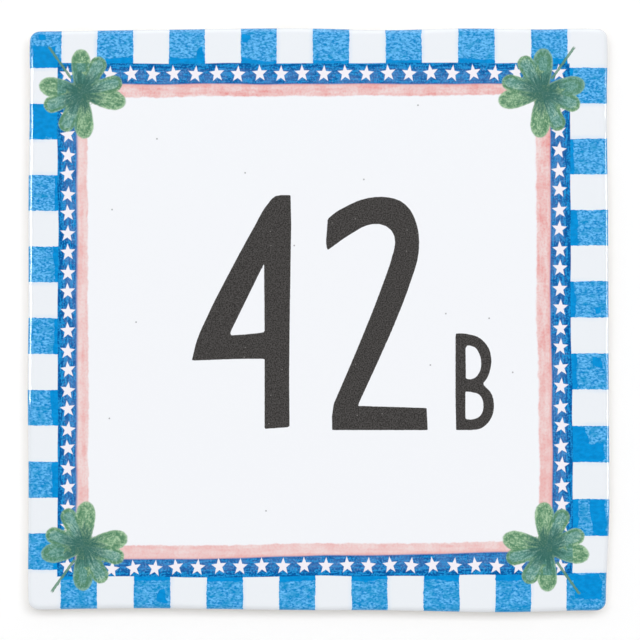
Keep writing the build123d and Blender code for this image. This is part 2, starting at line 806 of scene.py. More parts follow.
@dataclass(frozen=True)
class PinkStripe:
    """Pink stripe that turns salmon in long streaks and along the band. It is strongest at the top."""

    streak_width: float = 1.1
    blotch: Cloud = Cloud(4.0, 8.0)
    blotch_span: Pair = (0.42, 0.62)
    grain: Cloud = Cloud(0.6, 6.0)
    grain_span: Pair = (0.42, 0.66)
    streak_share: float = 0.35
    blotch_share: float = 0.35
    grain_share: float = 0.3
    strength: float = 0.97
    left_and_bottom_loss: float = 0.29
    right_and_bottom_loss: float = 0.1
    corner_turn: Pair = (-9.0, 9.0)
    right_climb: float = 0.005
    beside_band: Pair = (-0.9, -0.1)
    beside_share: float = 0.4
    fray: Cloud = Cloud(1.6, 2.0)
    fray_reach: float = 0.9
    edge: Pair = (-0.25, 0.25)

    def colour(self, board: Board, place: Signal, inside: Signal) -> Signal:
        """Mixes pink and salmon by streaks, blotches and grains, with more salmon beside the band.

        Args:
            board: Where the nodes are laid.
            place: Where the print is read, in millimetres.
            inside: How far it lies outside the band's inner line.

        Returns:
            The stripe's colour.
        """
        x, _, z = place.split()
        streak = STREAKS.placed(board, place=place, width=self.streak_width)
        blotch = self.blotch.at(board, place).rise(*self.blotch_span)
        grain = self.grain.at(board, place).rise(*self.grain_span)
        strength = self.strength - self.left_and_bottom_loss * (x + z).fall(*self.corner_turn)
        strength = strength - self.right_and_bottom_loss * (x - z).rise(*self.corner_turn)
        strength = strength + self.right_climb * z * x.above(abs(z))
        share = streak * self.streak_share + blotch * self.blotch_share + grain * self.grain_share
        wash = board.mix(share * strength, Colour.STRIPE_PINK, Colour.STRIPE_SALMON)
        beside = inside.rise(*self.beside_band) * (x + abs(z)).above(0.0)
        return board.mix(beside * self.beside_share, wash, Colour.STRIPE_SALMON)

    def share(self, board: Board, place: Signal, reach: Signal) -> Signal:
        """How much of the stripe shows: it ends softly and unevenly towards the field."""
        return (reach + self.fray.swing(board, place) * self.fray_reach).rise(*self.edge)


@dataclass(frozen=True)
class BlueBand:
    """Streaky blue band, milky along its inner half, with a thin deep line on its inner edge."""

    streak_width: float = 0.5
    streak_share: float = 0.5
    grain: Cloud = Cloud(0.5, 5.0)
    grain_span: Pair = (0.36, 0.64)
    tone_span: Pair = (0.28, 0.74)
    milk: Cloud = Cloud(3.0, 3.0)
    milk_span: Pair = (0.3, 0.66)
    milk_zone: Pair = (-2.6, -1.0)
    milk_share: float = 0.5
    chalk: Cloud = Cloud(0.45, 11.0)
    chalk_span: Pair = (0.52, 0.7)
    chalk_zone: Pair = (-1.6, -0.6)
    chalk_share: float = 0.26
    line_zone: Pair = (0.15, 0.6)
    line_share: float = 0.4

    def colour(self, board: Board, place: Signal, outside: Signal, inside: Signal) -> Signal:
        """Lays milk, chalk and the deep line over two tones of blue in streaks and grains.

        Args:
            board: Where the nodes are laid.
            place: Where the print is read, in millimetres.
            outside: How far it lies outside the band's outer line.
            inside: How far it lies outside the band's inner line.

        Returns:
            The band's colour.
        """
        streak = STREAKS.placed(board, place=place, width=self.streak_width)
        grain = self.grain.at(board, place).rise(*self.grain_span)
        tone = streak * self.streak_share + grain * (1.0 - self.streak_share)
        wash = board.mix(tone.rise(*self.tone_span), Colour.BAND_DEEP, Colour.BAND_CLEAR)
        milk = outside.fall(*self.milk_zone) * self.milk.at(board, place).rise(*self.milk_span)
        wash = board.mix(milk * self.milk_share, wash, Colour.BAND_MILKY)
        chalk = self.chalk.at(board, place).rise(*self.chalk_span) * outside.fall(*self.chalk_zone)
        wash = board.mix(chalk * self.chalk_share, wash, Colour.BAND_CHALK)
        return board.mix(inside.fall(*self.line_zone) * self.line_share, wash, Colour.BAND_DEEP)


@dataclass(frozen=True)
class CrayonChecks:
    """Crayon blue and white checks, with flat marker blue along the band and in loose patches."""

    sway: float = 0.12
    sway_size: float = 7.0
    rough: float = 0.1
    rough_size: float = 0.9
    stroke_way: Triple = (0.6, 1.0, 1.0)
    crayon: Pigment = Pigment(Colour.CRAYON_DARK, Colour.CRAYON_LIGHT, grain=0.42, spread=0.17)
    marker: Pigment = Pigment(Colour.MARKER_DARK, Colour.MARKER_LIGHT, grain=0.9, spread=0.2)
    press: Cloud = Cloud(1.5, 6.0)
    press_climb: float = 0.0006
    press_span: Pair = (0.455, 0.645)
    press_share: float = 0.65
    drift: Cloud = Cloud(12.0, 7.0)
    fray: Cloud = Cloud(1.5, 9.0)
    ragged: Cloud = Cloud(4.5, 2.0)
    strip_drift: float = 4.0
    strip_edge: Pair = (1.0, 1.25)
    patch_fray: float = 1.5
    patch_drift: float = 3.5
    patch_edge: Pair = (-0.1, 0.15)
    smudge_zone: Pair = (0.1, 1.3)
    smudge_span: Pair = (0.35, 0.65)
    smudge_share: float = 0.8

    def colour(self, board: Board, place: Signal, outside: Signal) -> Signal:
        """Lays white checks that are smudged at their edges beside the blue ones.

        Args:
            board: Where the nodes are laid.
            place: Where the print is read, in millimetres.
            outside: How far it lies outside the band's outer line.

        Returns:
            The checks' colour.
        """
        line = HAND_LINE.placed(board, place=place, amount=self.sway, size=self.sway_size)
        rough = HAND_LINE.placed(board, place=line, amount=self.rough, size=self.rough_size)
        drift = self.drift.at(board, place)
        chequers = CHEQUERS.outputs(board, place=rough)
        smudge = chequers["border"].fall(*self.smudge_zone) * drift.rise(*self.smudge_span)
        white = board.mix(smudge * self.smudge_share, Colour.CHECK_WHITE, Colour.CHECK_PALE)
        return board.mix(chequers["coloured"], white, self.blue(board, place, outside, drift))

    def blue(self, board: Board, place: Signal, outside: Signal, drift: Signal) -> Signal:
        """Lays marker in a strip along the band and in patches over crayon that is pressed on unevenly.

        Args:
            board: Where the nodes are laid.
            place: Where the print is read, in millimetres.
            outside: How far it lies outside the band's outer line.
            drift: A broad cloud that widens and narrows the strip.

        Returns:
            The coloured checks' blue.
        """
        drawn = board.stretch(place, self.stroke_way)
        pressed = self.press.at(board, drawn) - place.split()[2] * self.press_climb
        share = pressed.rise(*self.press_span) * self.press_share
        crayon = board.mix(share, self.crayon.colour(board, drawn), Colour.CRAYON_PRESSED)
        fray = self.fray.swing(board, place)
        strip = outside + (drift - 0.5) * self.strip_drift + fray
        patch = board.field("marker") + fray * self.patch_fray
        patch = patch + self.ragged.swing(board, place) * self.patch_drift
        marked = strip.fall(*self.strip_edge).apply("MAXIMUM", patch.fall(*self.patch_edge))
        return board.mix(marked, crayon, self.marker.colour(board, drawn))


@dataclass(frozen=True)
class CloverPrint:
    """Four-leaf clovers in grainy strokes, with darker rims and hearts, on thin stems.

    The print is thin: the small lobes are bluish within, and blue ground shows through. Each pair of rays is
    how fast the strokes change with direction and with distance.
    """

    fray: Cloud = Cloud(1.0, 4.0)
    fray_reach: float = 0.3
    edge: Pair = (-0.2, 0.16)
    small_seam: Pair = (-0.2, 0.2)
    rays: Cloud = Cloud(1.0, 8.0)
    broad_rays: Pair = (7.0, 0.3)
    fine_rays: Pair = (16.0, 0.9)
    speckle: Cloud = Cloud(0.4, 12.0)
    speckle_share: float = 0.5
    tone_span: Pair = (0.41, 0.59)
    grain_span: Pair = (0.42, 0.6)
    stroke_span: Pair = (0.48, 0.62)
    stroke_share: float = 0.5
    wash_zone: Pair = (-1.0, -0.5)
    wash_share: float = 0.8
    blue_span: Pair = (0.2, 0.5)
    blue_share: float = 0.8
    blue_less_on_small: float = 0.35
    heart_zone: Pair = (2.4, 7.0)
    heart_rays: float = 10.0
    heart_share: float = 1.05
    heart_grain: float = 0.3
    big_rim: float = 1.0
    small_rim: float = 0.6
    small_rim_sharp: float = 1.4
    rim_half: Pair = (0.2, 0.7)
    rim_start: Pair = (4.0, 7.0)
    rim_share: float = 0.8
    rim_grain: float = 0.5
    sparkle_span: Pair = (0.53, 0.63)
    sparkle_share: float = 0.5
    sparkle_less_in_heart: float = 0.4
    sparkle_less_on_blue: float = 0.7
    fringe_zone: Pair = (-0.6, 0.0)
    fringe_share: float = 0.38
    fringe_less_on_small: float = 0.3
    stem_fray: float = 0.5
    stem_half: Pair = (0.26, 0.4)
    stem_start: Pair = (4.2, 4.8)
    stem_end: Pair = (14.2, 15.0)
    stem_pale: Pair = (0.1, 0.3)
    stem_share: float = 0.9

    def over(self, board: Board, place: Signal, under: Signal) -> Signal:
        """Lays the leaves and stems over a colour.

        Args:
            board: Where the nodes are laid.
            place: Where the print is read, in millimetres.
            under: The colour that the clovers are laid on.

        Returns:
            The colour with the clovers on it.
        """
        fray = self.fray.swing(board, place)
        big, small = (board.field(name) + fray * self.fray_reach for name in ("leaf_big", "leaf_small"))
        heart = board.field("leaf_heart")
        stroke = self.strokes(board, heart, *self.broad_rays)
        fine = self.strokes(board, heart, *self.fine_rays)
        tone = fine * (1.0 - self.speckle_share) + self.speckle.at(board, place) * self.speckle_share
        grain = tone.rise(*self.grain_span)
        green = board.mix(tone.rise(*self.tone_span), Colour.LEAF, Colour.LEAF_BRIGHT)
        green = board.mix(stroke.rise(*self.stroke_span) * self.stroke_share, green, Colour.LEAF_RIM)
        wash = board.mix(grain, Colour.WASH_DARK, Colour.WASH_LIGHT)
        green = board.mix(small.fall(*self.wash_zone) * (self.wash_share + fray), green, wash)
        on_small = (big - small).rise(*self.small_seam)
        on_blue = under.split()[0].fall(*self.blue_span)
        shade = board.mix(grain, Colour.LEAF_ON_BLUE, Colour.LEAF_ON_BLUE_LIGHT)
        green = board.mix(on_blue * (self.blue_share - self.blue_less_on_small * on_small), green, shade)
        core = (heart + (stroke - 0.5) * self.heart_rays).fall(*self.heart_zone)
        green = board.mix(core * (self.heart_share - tone * self.heart_grain), green, Colour.LEAF_HEART)
        rim = abs(big + self.big_rim).apply("MINIMUM", abs(small + self.small_rim) * self.small_rim_sharp)
        rim = rim.fall(*self.rim_half) * heart.rise(*self.rim_start)
        green = board.mix(rim * (self.rim_share - self.rim_grain * grain), green, Colour.LEAF_RIM)
        sparkle = tone.rise(*self.sparkle_span) * (self.sparkle_share - self.sparkle_less_in_heart * core)
        sparkle = sparkle * (1.0 - self.sparkle_less_on_blue * on_blue)
        green = board.mix(sparkle, green, Colour.LEAF_BRIGHT)
        either = big.apply("MINIMUM", small)
        fringe = either.rise(*self.fringe_zone) * (self.fringe_share - self.fringe_less_on_small * on_small)
        green = board.mix(fringe, green, Colour.LEAF_BRIGHT)
        return board.mix(either.fall(*self.edge), self.stems(board, under, fray), green)

    def strokes(self, board: Board, heart: Signal, turns: float, steps: float) -> Signal:
        """Random strokes that spread from a clover's heart: a cloud read by direction and by distance.

        Args:
            board: Where the nodes are laid.
            heart: Distance from the heart in millimetres.
            turns: How fast the cloud changes with direction.
            steps: How fast it changes with distance.

        Returns:
            The cloud's value.
        """
        ways = (board.field(name) / heart * turns for name in ("stem_run", "stem_side"))
        ray = board.node("ShaderNodeCombineXYZ", {**dict(enumerate(ways)), 2: heart * steps})
        return self.rays.at(board, Signal(board, ray.outputs[0]))

    def stems(self, board: Board, under: Signal, fray: Signal) -> Signal:
        """The clovers' thin stems, paler along the middle.

        Args:
            board: Where the nodes are laid.
            under: The colour that the stems are laid on.
            fray: A cloud that makes their edges uneven.

        Returns:
            The colour with the stems on it.
        """
        side, run = board.field("stem_side"), board.field("stem_run")
        stem = abs(side + fray * self.stem_fray).fall(*self.stem_half)
        stem = stem * run.rise(*self.stem_start) * run.fall(*self.stem_end)
        green = board.mix(abs(side).rise(*self.stem_pale), Colour.STEM, Colour.LEAF_RIM)
        return board.mix(stem * self.stem_share, under, green)


@dataclass(frozen=True)
class NumberInk:
    """Near-black ink with a fine grain and a few pale specks."""

    ink: Pigment = Pigment(Colour.INK_DARK, Colour.INK_LIGHT, grain=0.33, spread=0.16)
    fray: Cloud = Cloud(0.8, 1.0)
    fray_reach: float = 0.12
    edge: Pair = (-0.07, 0.07)
    speck_spacing: float = 3.2
    speck_radius: float = 0.2
    speck_cells: float = 0.2
    speck_share: float = 0.7

    def over(self, board: Board, place: Signal, under: Signal) -> Signal:
        """Lays the number over a colour.

        Args:
            board: Where the nodes are laid.
            place: Where the print is read, in millimetres.
            under: The colour that the number is laid on.

        Returns:
            The colour with the number on it.
        """
        reach = board.field("ink") + self.fray.swing(board, place) * self.fray_reach
        cells = {"spacing": self.speck_spacing, "radius": self.speck_radius, "share": self.speck_cells}
        speck = SPECKS.placed(board, place=place, **cells)
        black = board.mix(speck * self.speck_share, self.ink.colour(board, place), Colour.INK_SPECK)
        return board.mix(reach.fall(*self.edge), under, black)


class FiredFinish(ABC):
    """A finish of fired ware: a colour that varies over it, one roughness and a fine relief."""

    title: str
    roughness: float
    relief_strength: float
    relief_height: float

    @abstractmethod
    def colour(self, board: Board, place: Signal) -> Signal:
        """The finish's colour at a place in millimetres."""

    @abstractmethod
    def relief(self, board: Board, place: Signal) -> Signal:
        """The relief's share of its height at a place in millimetres."""

    def material(self) -> bpy.types.Material:
        """Makes the finish's material.

        Returns:
            The new material.
        """
        material = bpy.data.materials.new(self.title)
        material.use_nodes = True
        board = Board(material.node_tree)
        place = board.place()
        shader = material.node_tree.nodes["Principled BSDF"]
        board.feed(shader.inputs["Base Color"], self.colour(board, place))
        shader.inputs["Roughness"].default_value = self.roughness
        bump = board.node("ShaderNodeBump", {"Height": self.relief(board, place)})
        bump.inputs["Strength"].default_value = self.relief_strength
        bump.inputs["Distance"].default_value = self.relief_height
        board.feed(shader.inputs["Normal"], Signal(board, bump.outputs[0]))
        return material


@dataclass(frozen=True)
class PrintedGlaze(FiredFinish):
    """Glossy white glaze with the fired print under it: border, clovers, number and blemishes."""

    title: str = "printed_glaze"
    roughness: float = 0.06
    relief_strength: float = 0.12
    relief_height: float = 0.2 * MM
    ripple: Cloud = Cloud(4.5, 3.0)
    fine_ripple: Cloud = Cloud(1.4, 5.0)
    fine_share: float = 0.25
    band_outside: FrameLine = FrameLine(
        left=-67.36, right=65.5, top=66.33, bottom=-66.35, right_lean=-0.0071, bottom_lean=0.0038
    )
    band_inside: FrameLine = FrameLine(
        left=-62.35, right=60.22, top=60.94, bottom=-61.08,
        left_lean=0.003, right_lean=-0.0062, bottom_lean=0.0175,
    )
    stripe_inside: FrameLine = FrameLine(
        left=-59.54, right=56.66, top=57.92, bottom=-57.94,
        left_lean=-0.002, right_lean=-0.0115, top_lean=0.0058, bottom_lean=0.0085,
    )
    sway: float = 0.26
    sway_size: float = 20.0
    outer_fade: float = 0.08
    inner_fade: float = 0.24
    left_fade: float = 0.24
    print_depth: Pair = (-7.4, -6.4)
    ground: WhiteGround = WhiteGround()
    stripe: PinkStripe = PinkStripe()
    band: BlueBand = BlueBand()
    checks: CrayonChecks = CrayonChecks()
    clovers: CloverPrint = CloverPrint()
    number: NumberInk = NumberInk()

    def colour(self, board: Board, place: Signal) -> Signal:
        """The print's layers, laid one over the other, and bare glaze down the sides.

        Args:
            board: Where the nodes are laid.
            place: Where the print is read, in millimetres.

        Returns:
            The glaze's colour.
        """
        line = HAND_LINE.placed(board, place=place, amount=self.sway, size=self.sway_size)
        frames = (self.band_outside, self.band_inside, self.stripe_inside)
        outside, inside, reach = (frame.reach(board, line) for frame in frames)
        colour = self.ground.colour(board, place)
        stripe = self.stripe.colour(board, place, inside)
        colour = board.mix(self.stripe.share(board, place, reach), colour, stripe)
        x, depth, z = place.split()
        soft = self.inner_fade + self.left_fade * (-1.0 * x).above(abs(z))
        band = self.band.colour(board, place, outside, inside)
        colour = board.mix(inside.rise(-1.0 * soft, soft), colour, band)
        colour = board.mix(STAR_ROWS.placed(board, place=place), colour, Colour.STAR)
        checks = self.checks.colour(board, place, outside)
        colour = board.mix(outside.rise(-self.outer_fade, self.outer_fade), colour, checks)
        colour = self.clovers.over(board, place, colour)
        colour = self.number.over(board, place, colour)
        return board.mix(depth.rise(*self.print_depth), colour, Colour.GLAZE)

    def relief(self, board: Board, place: Signal) -> Signal:
        """Slow ripples with finer ones on them."""
        return self.ripple.at(board, place) + self.fine_share * self.fine_ripple.at(board, place)


@dataclass(frozen=True)
class Biscuit(FiredFinish):
    """Bare fired clay, cream and dull, with painted shade that darkens the pockets of the back."""

    title: str = "bare_clay"
    roughness: float = 0.85
    relief_strength: float = 0.4
    relief_height: float = 0.1 * MM
    grit: Cloud = Cloud(0.7, 9.0, detail=4.0)
    clay: Pigment = Pigment(Colour.BISCUIT_DARK, Colour.BISCUIT_LIGHT, grain=0.9, spread=0.2)
    # Depths in millimetres over which the painted pocket shade comes in
    pocket: Pair = (-0.85, -0.15)
    shade_patchiness: Cloud = Cloud(25.0, 4.0)
    shade_patchiness_span: Pair = (0.35, 0.65)
    pocket_shade_least: float = 0.35
    pocket_shade_change: float = 0.4

    def colour(self, board: Board, place: Signal) -> Signal:
        """Two tones of clay, with painted shade that deepens towards the pocket floors, patchy in strength.

        Args:
            board: Where the nodes are laid.
            place: Where the clay is read, in millimetres.

        Returns:
            The clay's colour.
        """
        # Painted shade: the clay is darkened towards the floors of the back's pockets, more in some patches
        # than in others
        shade_patchiness = self.pocket_shade_least + self.pocket_shade_change * self.shade_patchiness.at(board, place).rise(*self.shade_patchiness_span)
        deep = place.split()[1].fall(*self.pocket)
        return board.mix(deep * shade_patchiness, self.clay.colour(board, place), Colour.BISCUIT_PAINTED_SHADE)

    def relief(self, board: Board, place: Signal) -> Signal:
        """A fine grit."""
        return self.grit.at(board, place)


class SmoothLine:
    """A smooth line through points.

    It runs in cubic pieces. The slope at each point is the mean of the two chords beside it, each weighted by
    the other's length, so that close points do not bend the long chord next to them.
    """

    def __init__(self, points: np.ndarray, closed: bool = False) -> None:
        """Works out the line's lengths and slopes.

        Args:
            points: Rows of two numbers.
            closed: Whether the line runs from the last point back to the first.
        """
        self.closed = closed
        self.knots = np.vstack([points, points[:1]]) if closed else points
        chord = np.diff(self.knots, axis=0)
        self.run = np.linalg.norm(chord, axis=1)
        self.start = np.concatenate([[0.0], np.cumsum(self.run)])
        first, last = (-1, 0) if closed else (0, -1)
        slope = chord / self.run[:, None]
        before = np.vstack([slope[first], slope])
        after = np.vstack([slope, slope[last]])
        run_before = np.append(self.run[first], self.run)[:, None]
        run_after = np.append(self.run, self.run[last])[:, None]
        self.slope = (before * run_after + after * run_before) / (run_before + run_after)

    @property
    def length(self) -> float:
        """The sum of the line's chords."""
        return float(self.start[-1])

    def at(self, lengths: np.ndarray) -> np.ndarray:
        """Points at the given lengths along the line: each piece blends its two ends and their slopes.

        Args:
            lengths: Lengths from the line's start.

        Returns:
            Rows of two numbers.
        """
        lengths = np.mod(lengths, self.length) if self.closed else lengths
        piece = np.clip(np.searchsorted(self.start, lengths, side="right") - 1, 0, len(self.run) - 1)
        run = self.run[piece][:, None]
        share = (lengths - self.start[piece])[:, None] / run
        rest = 1.0 - share
        ends = self.knots[piece] * (1 + 2 * share) * rest**2
        ends = ends + self.knots[piece + 1] * (1 + 2 * rest) * share**2
        bend = self.slope[piece] * share * rest**2 - self.slope[piece + 1] * rest * share**2
        return ends + bend * run

    def even(self, count: int) -> np.ndarray:
        """That many points at even lengths from end to end."""
        return self.at(np.linspace(0.0, self.length, count))


class Run(Enum):
    """How an outline goes through a list of points."""

    STRAIGHT = "straight"
    CURVED = "curved"


Stretch = Tuple[Run, Sequence[Pair]]


@dataclass(frozen=True)
class Numeral:
    """One printed figure or letter: closed outlines in millimetres on the face. Inner ones are holes.

    The least square stands in for that of an edge of no length.
    """

    outlines: Sequence[Sequence[Stretch]]
    curve_steps: int = 40
    margin: float = 3.0
    least_square: float = 1e-12

    def polygons(self) -> List[np.ndarray]:
        """Each outline as a closed polygon, with its curved stretches sampled."""
        return [np.vstack([self.sampled(*stretch) for stretch in outline]) for outline in self.outlines]

    def sampled(self, run: Run, points: Sequence[Pair]) -> np.ndarray:
        """The points of one stretch, with a curve drawn through them where it is curved."""
        corners = np.array(points)
        return corners if run is Run.STRAIGHT else SmoothLine(corners).even(self.curve_steps)

    def distance(self, places: np.ndarray) -> np.ndarray:
        """Distance to the figure's edge, less than nothing inside it.

        A place is inside where a line from it to the right crosses the outlines an odd number of times.

        Args:
            places: Rows of X and Z in millimetres.

        Returns:
            Distances in millimetres, cut off at the margin.
        """
        polygons = self.polygons()
        start = np.vstack(polygons)
        edge = np.vstack([np.roll(polygon, -1, axis=0) for polygon in polygons]) - start
        low, high = start.min(0) - self.margin, start.max(0) + self.margin
        near = np.all((places > low) & (places < high), axis=1)
        offset = places[near][:, None] - start
        squared = np.maximum((edge**2).sum(1), self.least_square)
        share = np.clip((offset * edge).sum(2) / squared, 0.0, 1.0)
        gap = np.linalg.norm(offset - share[..., None] * edge, axis=2).min(1)
        passes = (offset[..., 1] < 0) != (offset[..., 1] < edge[:, 1])
        rise = np.where(edge[:, 1] == 0, 1.0, edge[:, 1])
        crosses = passes & (offset[..., 0] < edge[:, 0] * offset[..., 1] / rise)
        inside = crosses.sum(1) % 2 == 1
        distance = np.full(len(places), self.margin)
        distance[near] = np.minimum(np.where(inside, -gap, gap), self.margin)
        return distance


FOUR_FOOT = [(-32.7, -10.55), (-31.4, -5.4), (-28.7, 0.85), (-22.4, 13.3)]
FOUR_SLOPE = [(-16.8, 23.6), (-13.1, 29.92), (-11.3, 31.88), (-10.0, 32.25)]
FOUR = Numeral(
    [
        [
            (Run.STRAIGHT, [(-7.15, 32.25), (-6.98, 25.0), (-7.38, -1.2), (-7.5, -15.0), (-7.4, -27.75)]),
            (Run.STRAIGHT, [(-13.88, -28.22), (-13.87, -10.1), (-20.0, -10.1)]),
            (Run.CURVED, FOUR_FOOT + FOUR_SLOPE),
        ],
        [(Run.STRAIGHT, [(-14.0, 14.6), (-13.87, -3.25), (-19.06, -3.8), (-22.55, -4.0), (-22.75, -3.3)])],
    ]
)
TWO_BROW = [(2.45, 26.05), (4.4, 27.75), (7.25, 29.35), (10.8, 30.95), (16.1, 31.82), (19.21, 31.48)]
TWO_BACK = [(21.35, 30.7), (23.4, 28.95), (25.47, 24.7), (26.12, 20.5), (25.82, 16.3), (24.0, 10.1)]
TWO_LEG = [(20.1, -0.2), (15.1, -11.6)]
TWO_BELLY = [(3.98, -21.8), (10.56, -6.39), (16.29, 8.09), (19.1, 16.37), (19.9, 20.2)]
TWO_THROAT = [(19.3, 22.6), (17.3, 24.35), (15.0, 24.82), (12.5, 24.4), (9.0, 22.54), (2.35, 17.95)]
TWO = Numeral(
    [
        [
            (Run.CURVED, TWO_BROW + TWO_BACK + TWO_LEG),
            (Run.STRAIGHT, [(10.2, -22.25), (28.05, -22.8), (28.32, -28.53), (3.6, -28.52), (3.53, -25.0)]),
            (Run.CURVED, TWO_BELLY + TWO_THROAT),
            (Run.STRAIGHT, [(2.0, 20.0)]),
        ]
    ]
)
LETTER_CROWN = [(37.8, -3.5), (41.5, -4.55), (44.05, -7.25)]
LETTER_CHEST = [(44.75, -10.0), (44.4, -13.2), (43.65, -15.15), (42.5, -16.55)]
LETTER_BELLY = [(42.5, -16.55), (44.9, -19.3), (45.45, -22.0), (45.15, -24.4)]
LETTER_FOOT = [(43.6, -27.0), (41.9, -28.15), (39.6, -28.52)]
UPPER_EYE = [
    (39.3, -6.65), (40.6, -7.2), (41.5, -8.5), (42.15, -11.0),
    (41.5, -13.9), (40.6, -14.95), (39.4, -15.4),
]
LOWER_EYE = [
    (39.4, -18.65), (41.45, -19.25), (42.45, -20.5), (42.72, -22.2),
    (42.45, -23.9), (41.5, -25.2), (39.6, -25.8),
]
LETTER = Numeral(
    [
        [
            (Run.STRAIGHT, [(35.66, -28.52), (35.5, -20.0), (35.5, -3.55)]),
            (Run.CURVED, LETTER_CROWN + LETTER_CHEST),
            (Run.CURVED, LETTER_BELLY + LETTER_FOOT),
        ],
        [(Run.STRAIGHT, [(38.2, -15.25), (38.1, -6.65)]), (Run.CURVED, UPPER_EYE)],
        [(Run.STRAIGHT, [(38.1, -25.7), (38.05, -18.55)]), (Run.CURVED, LOWER_EYE)],
    ]
)


@dataclass(frozen=True)
class Lobe:
    """One half of a clover leaf, in degrees and millimetres: it widens from the heart to an oval head."""

    angle: float
    reach: float
    half_width: float
    root: float = 1.0
    head: float = 1.4

    def distance(self, across: np.ndarray, up: np.ndarray) -> np.ndarray:
        """About how far a place lies outside the lobe's edge.

        Up to the shoulder the half width grows smoothly from the root's. Beyond it the edge is half an oval,
        whose length is the head times the half width.

        Args:
            across: Places to the right of the heart.
            up: Places above the heart.

        Returns:
            Distances in millimetres, less than nothing inside.
        """
        turn = radians(self.angle)
        along = across * cos(turn) + up * sin(turn)
        aside = np.abs(up * cos(turn) - across * sin(turn))
        oval = self.head * self.half_width
        start = self.reach - oval
        share = np.clip(along / start, 0.0, 1.0)
        width = self.root + (self.half_width - self.root) * share * (2.0 - share)
        stalk = np.hypot(aside, np.minimum(along, 0.0)) - width
        head = (np.hypot((along - start) / oval, aside / self.half_width) - 1.0) * self.half_width
        return np.where(along < start, stalk, head)


@dataclass(frozen=True)
class Clover:
    """A four-leaf clover of eight lobes, with its stem towards the corner, mirrored for two corners."""

    centre: Pair
    mirrored: bool
    stem_angle: float
    turn: float = 0.0
    lobes: Sequence[Lobe] = (
        Lobe(angle=91.0, reach=11.3, half_width=2.55),
        Lobe(angle=59.0, reach=10.6, half_width=2.23, head=1.05),
        Lobe(angle=16.0, reach=10.9, half_width=2.14, head=1.05),
        Lobe(angle=-13.0, reach=11.7, half_width=2.6),
        Lobe(angle=-86.0, reach=11.9, half_width=2.55),
        Lobe(angle=-116.0, reach=11.0, half_width=2.18, head=1.05),
        Lobe(angle=201.5, reach=10.4, half_width=2.23, head=1.05),
        Lobe(angle=169.0, reach=11.2, half_width=2.6),
    )
    small_width: float = 2.3
    stem_trim: float = 0.0

    def fields(self, places: np.ndarray) -> Dict[str, np.ndarray]:
        """The numbers that the print reads for this clover.

        Args:
            places: Rows of X and Z in millimetres.

        Returns:
            One array for each named field.
        """
        across, up = (places - self.centre).T
        stem = radians(self.stem_angle)
        turn = radians(self.turn)
        drawn_across = (across * cos(turn) + up * sin(turn)) * (-1.0 if self.mirrored else 1.0)
        drawn_up = up * cos(turn) - across * sin(turn)
        lobes = np.array([lobe.distance(drawn_across, drawn_up) for lobe in self.lobes])
        small = np.array([lobe.half_width < self.small_width for lobe in self.lobes])
        return {
            "leaf_big": lobes[~small].min(axis=0),
            "leaf_small": lobes[small].min(axis=0),
            "leaf_heart": np.hypot(across, up),
            "stem_side": up * cos(stem) - across * sin(stem),
            "stem_run": across * cos(stem) + up * sin(stem) + self.stem_trim,
        }


@dataclass(frozen=True)
class Patch:
    """A flat dab of marker on the checks: a soft-cornered box in millimetres on the face."""

    centre: Pair
    half: Pair

    def distance(self, places: np.ndarray) -> np.ndarray:
        """How far each place lies outside the dab, less than nothing inside it."""
        beyond = np.abs(places - self.centre) - self.half
        return np.linalg.norm(np.maximum(beyond, 0.0), axis=1) + np.minimum(beyond.max(1), 0.0)


@dataclass(frozen=True)
class PrintPlan:
    """What is printed at set places on the face: the number, the four corner clovers and the marker dabs."""

    numerals: Sequence[Numeral] = (FOUR, TWO, LETTER)
    patches: Sequence[Patch] = (
        Patch((-70.8, 68.0), (3.2, 3.0)),
        Patch((-71.2, 73.0), (0.9, 0.9)),
        Patch((-71.0, 51.4), (3.8, 4.6)),
        Patch((-30.6, 68.7), (0.8, 2.0)),
        Patch((-18.7, 72.6), (0.8, 0.7)),
        Patch((72.2, 2.5), (0.9, 1.0)),
        Patch((72.2, -10.8), (1.0, 1.0)),
        Patch((68.1, -32.1), (1.7, 4.7)),
        Patch((71.5, -34.4), (2.3, 2.4)),
        Patch((72.4, -51.3), (1.8, 4.6)),
        Patch((69.5, -68.8), (3.2, 3.2)),
        Patch((-40.5, -71.2), (1.1, 1.8)),
    )
    clovers: Sequence[Clover] = (
        Clover((-61.2, 58.7), mirrored=False, stem_angle=125.5),
        Clover((58.0, 58.95), mirrored=True, stem_angle=54.5, stem_trim=0.45),
        Clover((-60.7, -58.8), mirrored=True, stem_angle=-125.5, turn=180.0, stem_trim=0.45),
        Clover((59.1, -59.0), mirrored=False, stem_angle=-54.5, turn=180.0),
    )

    def fields(self, places: np.ndarray) -> Dict[str, np.ndarray]:
        """All numbers that the print reads from the mesh.

        Args:
            places: Rows of X and Z in millimetres, one for each vertex.

        Returns:
            One array for each named field. Each vertex takes a clover's fields from the nearest clover.
        """
        found = {
            "ink": np.min([numeral.distance(places) for numeral in self.numerals], axis=0),
            "marker": np.min([patch.distance(places) for patch in self.patches], axis=0),
        }
        drawn = [clover.fields(places) for clover in self.clovers]
        nearest = np.argmin([fields["leaf_heart"] for fields in drawn], axis=0)
        for name in drawn[0]:
            found[name] = np.choose(nearest, [fields[name] for fields in drawn])
        return found


class Finish(IntEnum):
    """Material slots of the tile."""

    GLAZE = 0
    CLAY = 1


class Chart(IntEnum):
    """Charts of the tile's texture map. The face's fills most of it, and the back's a free corner."""

    FACE = 0
    BACK = 1

    @property
    def span(self) -> Pair:
        """Where the chart starts and ends on the texture square, both across and up."""
        return {Chart.FACE: (0.004, 0.842), Chart.BACK: (0.85, 0.996)}[self]


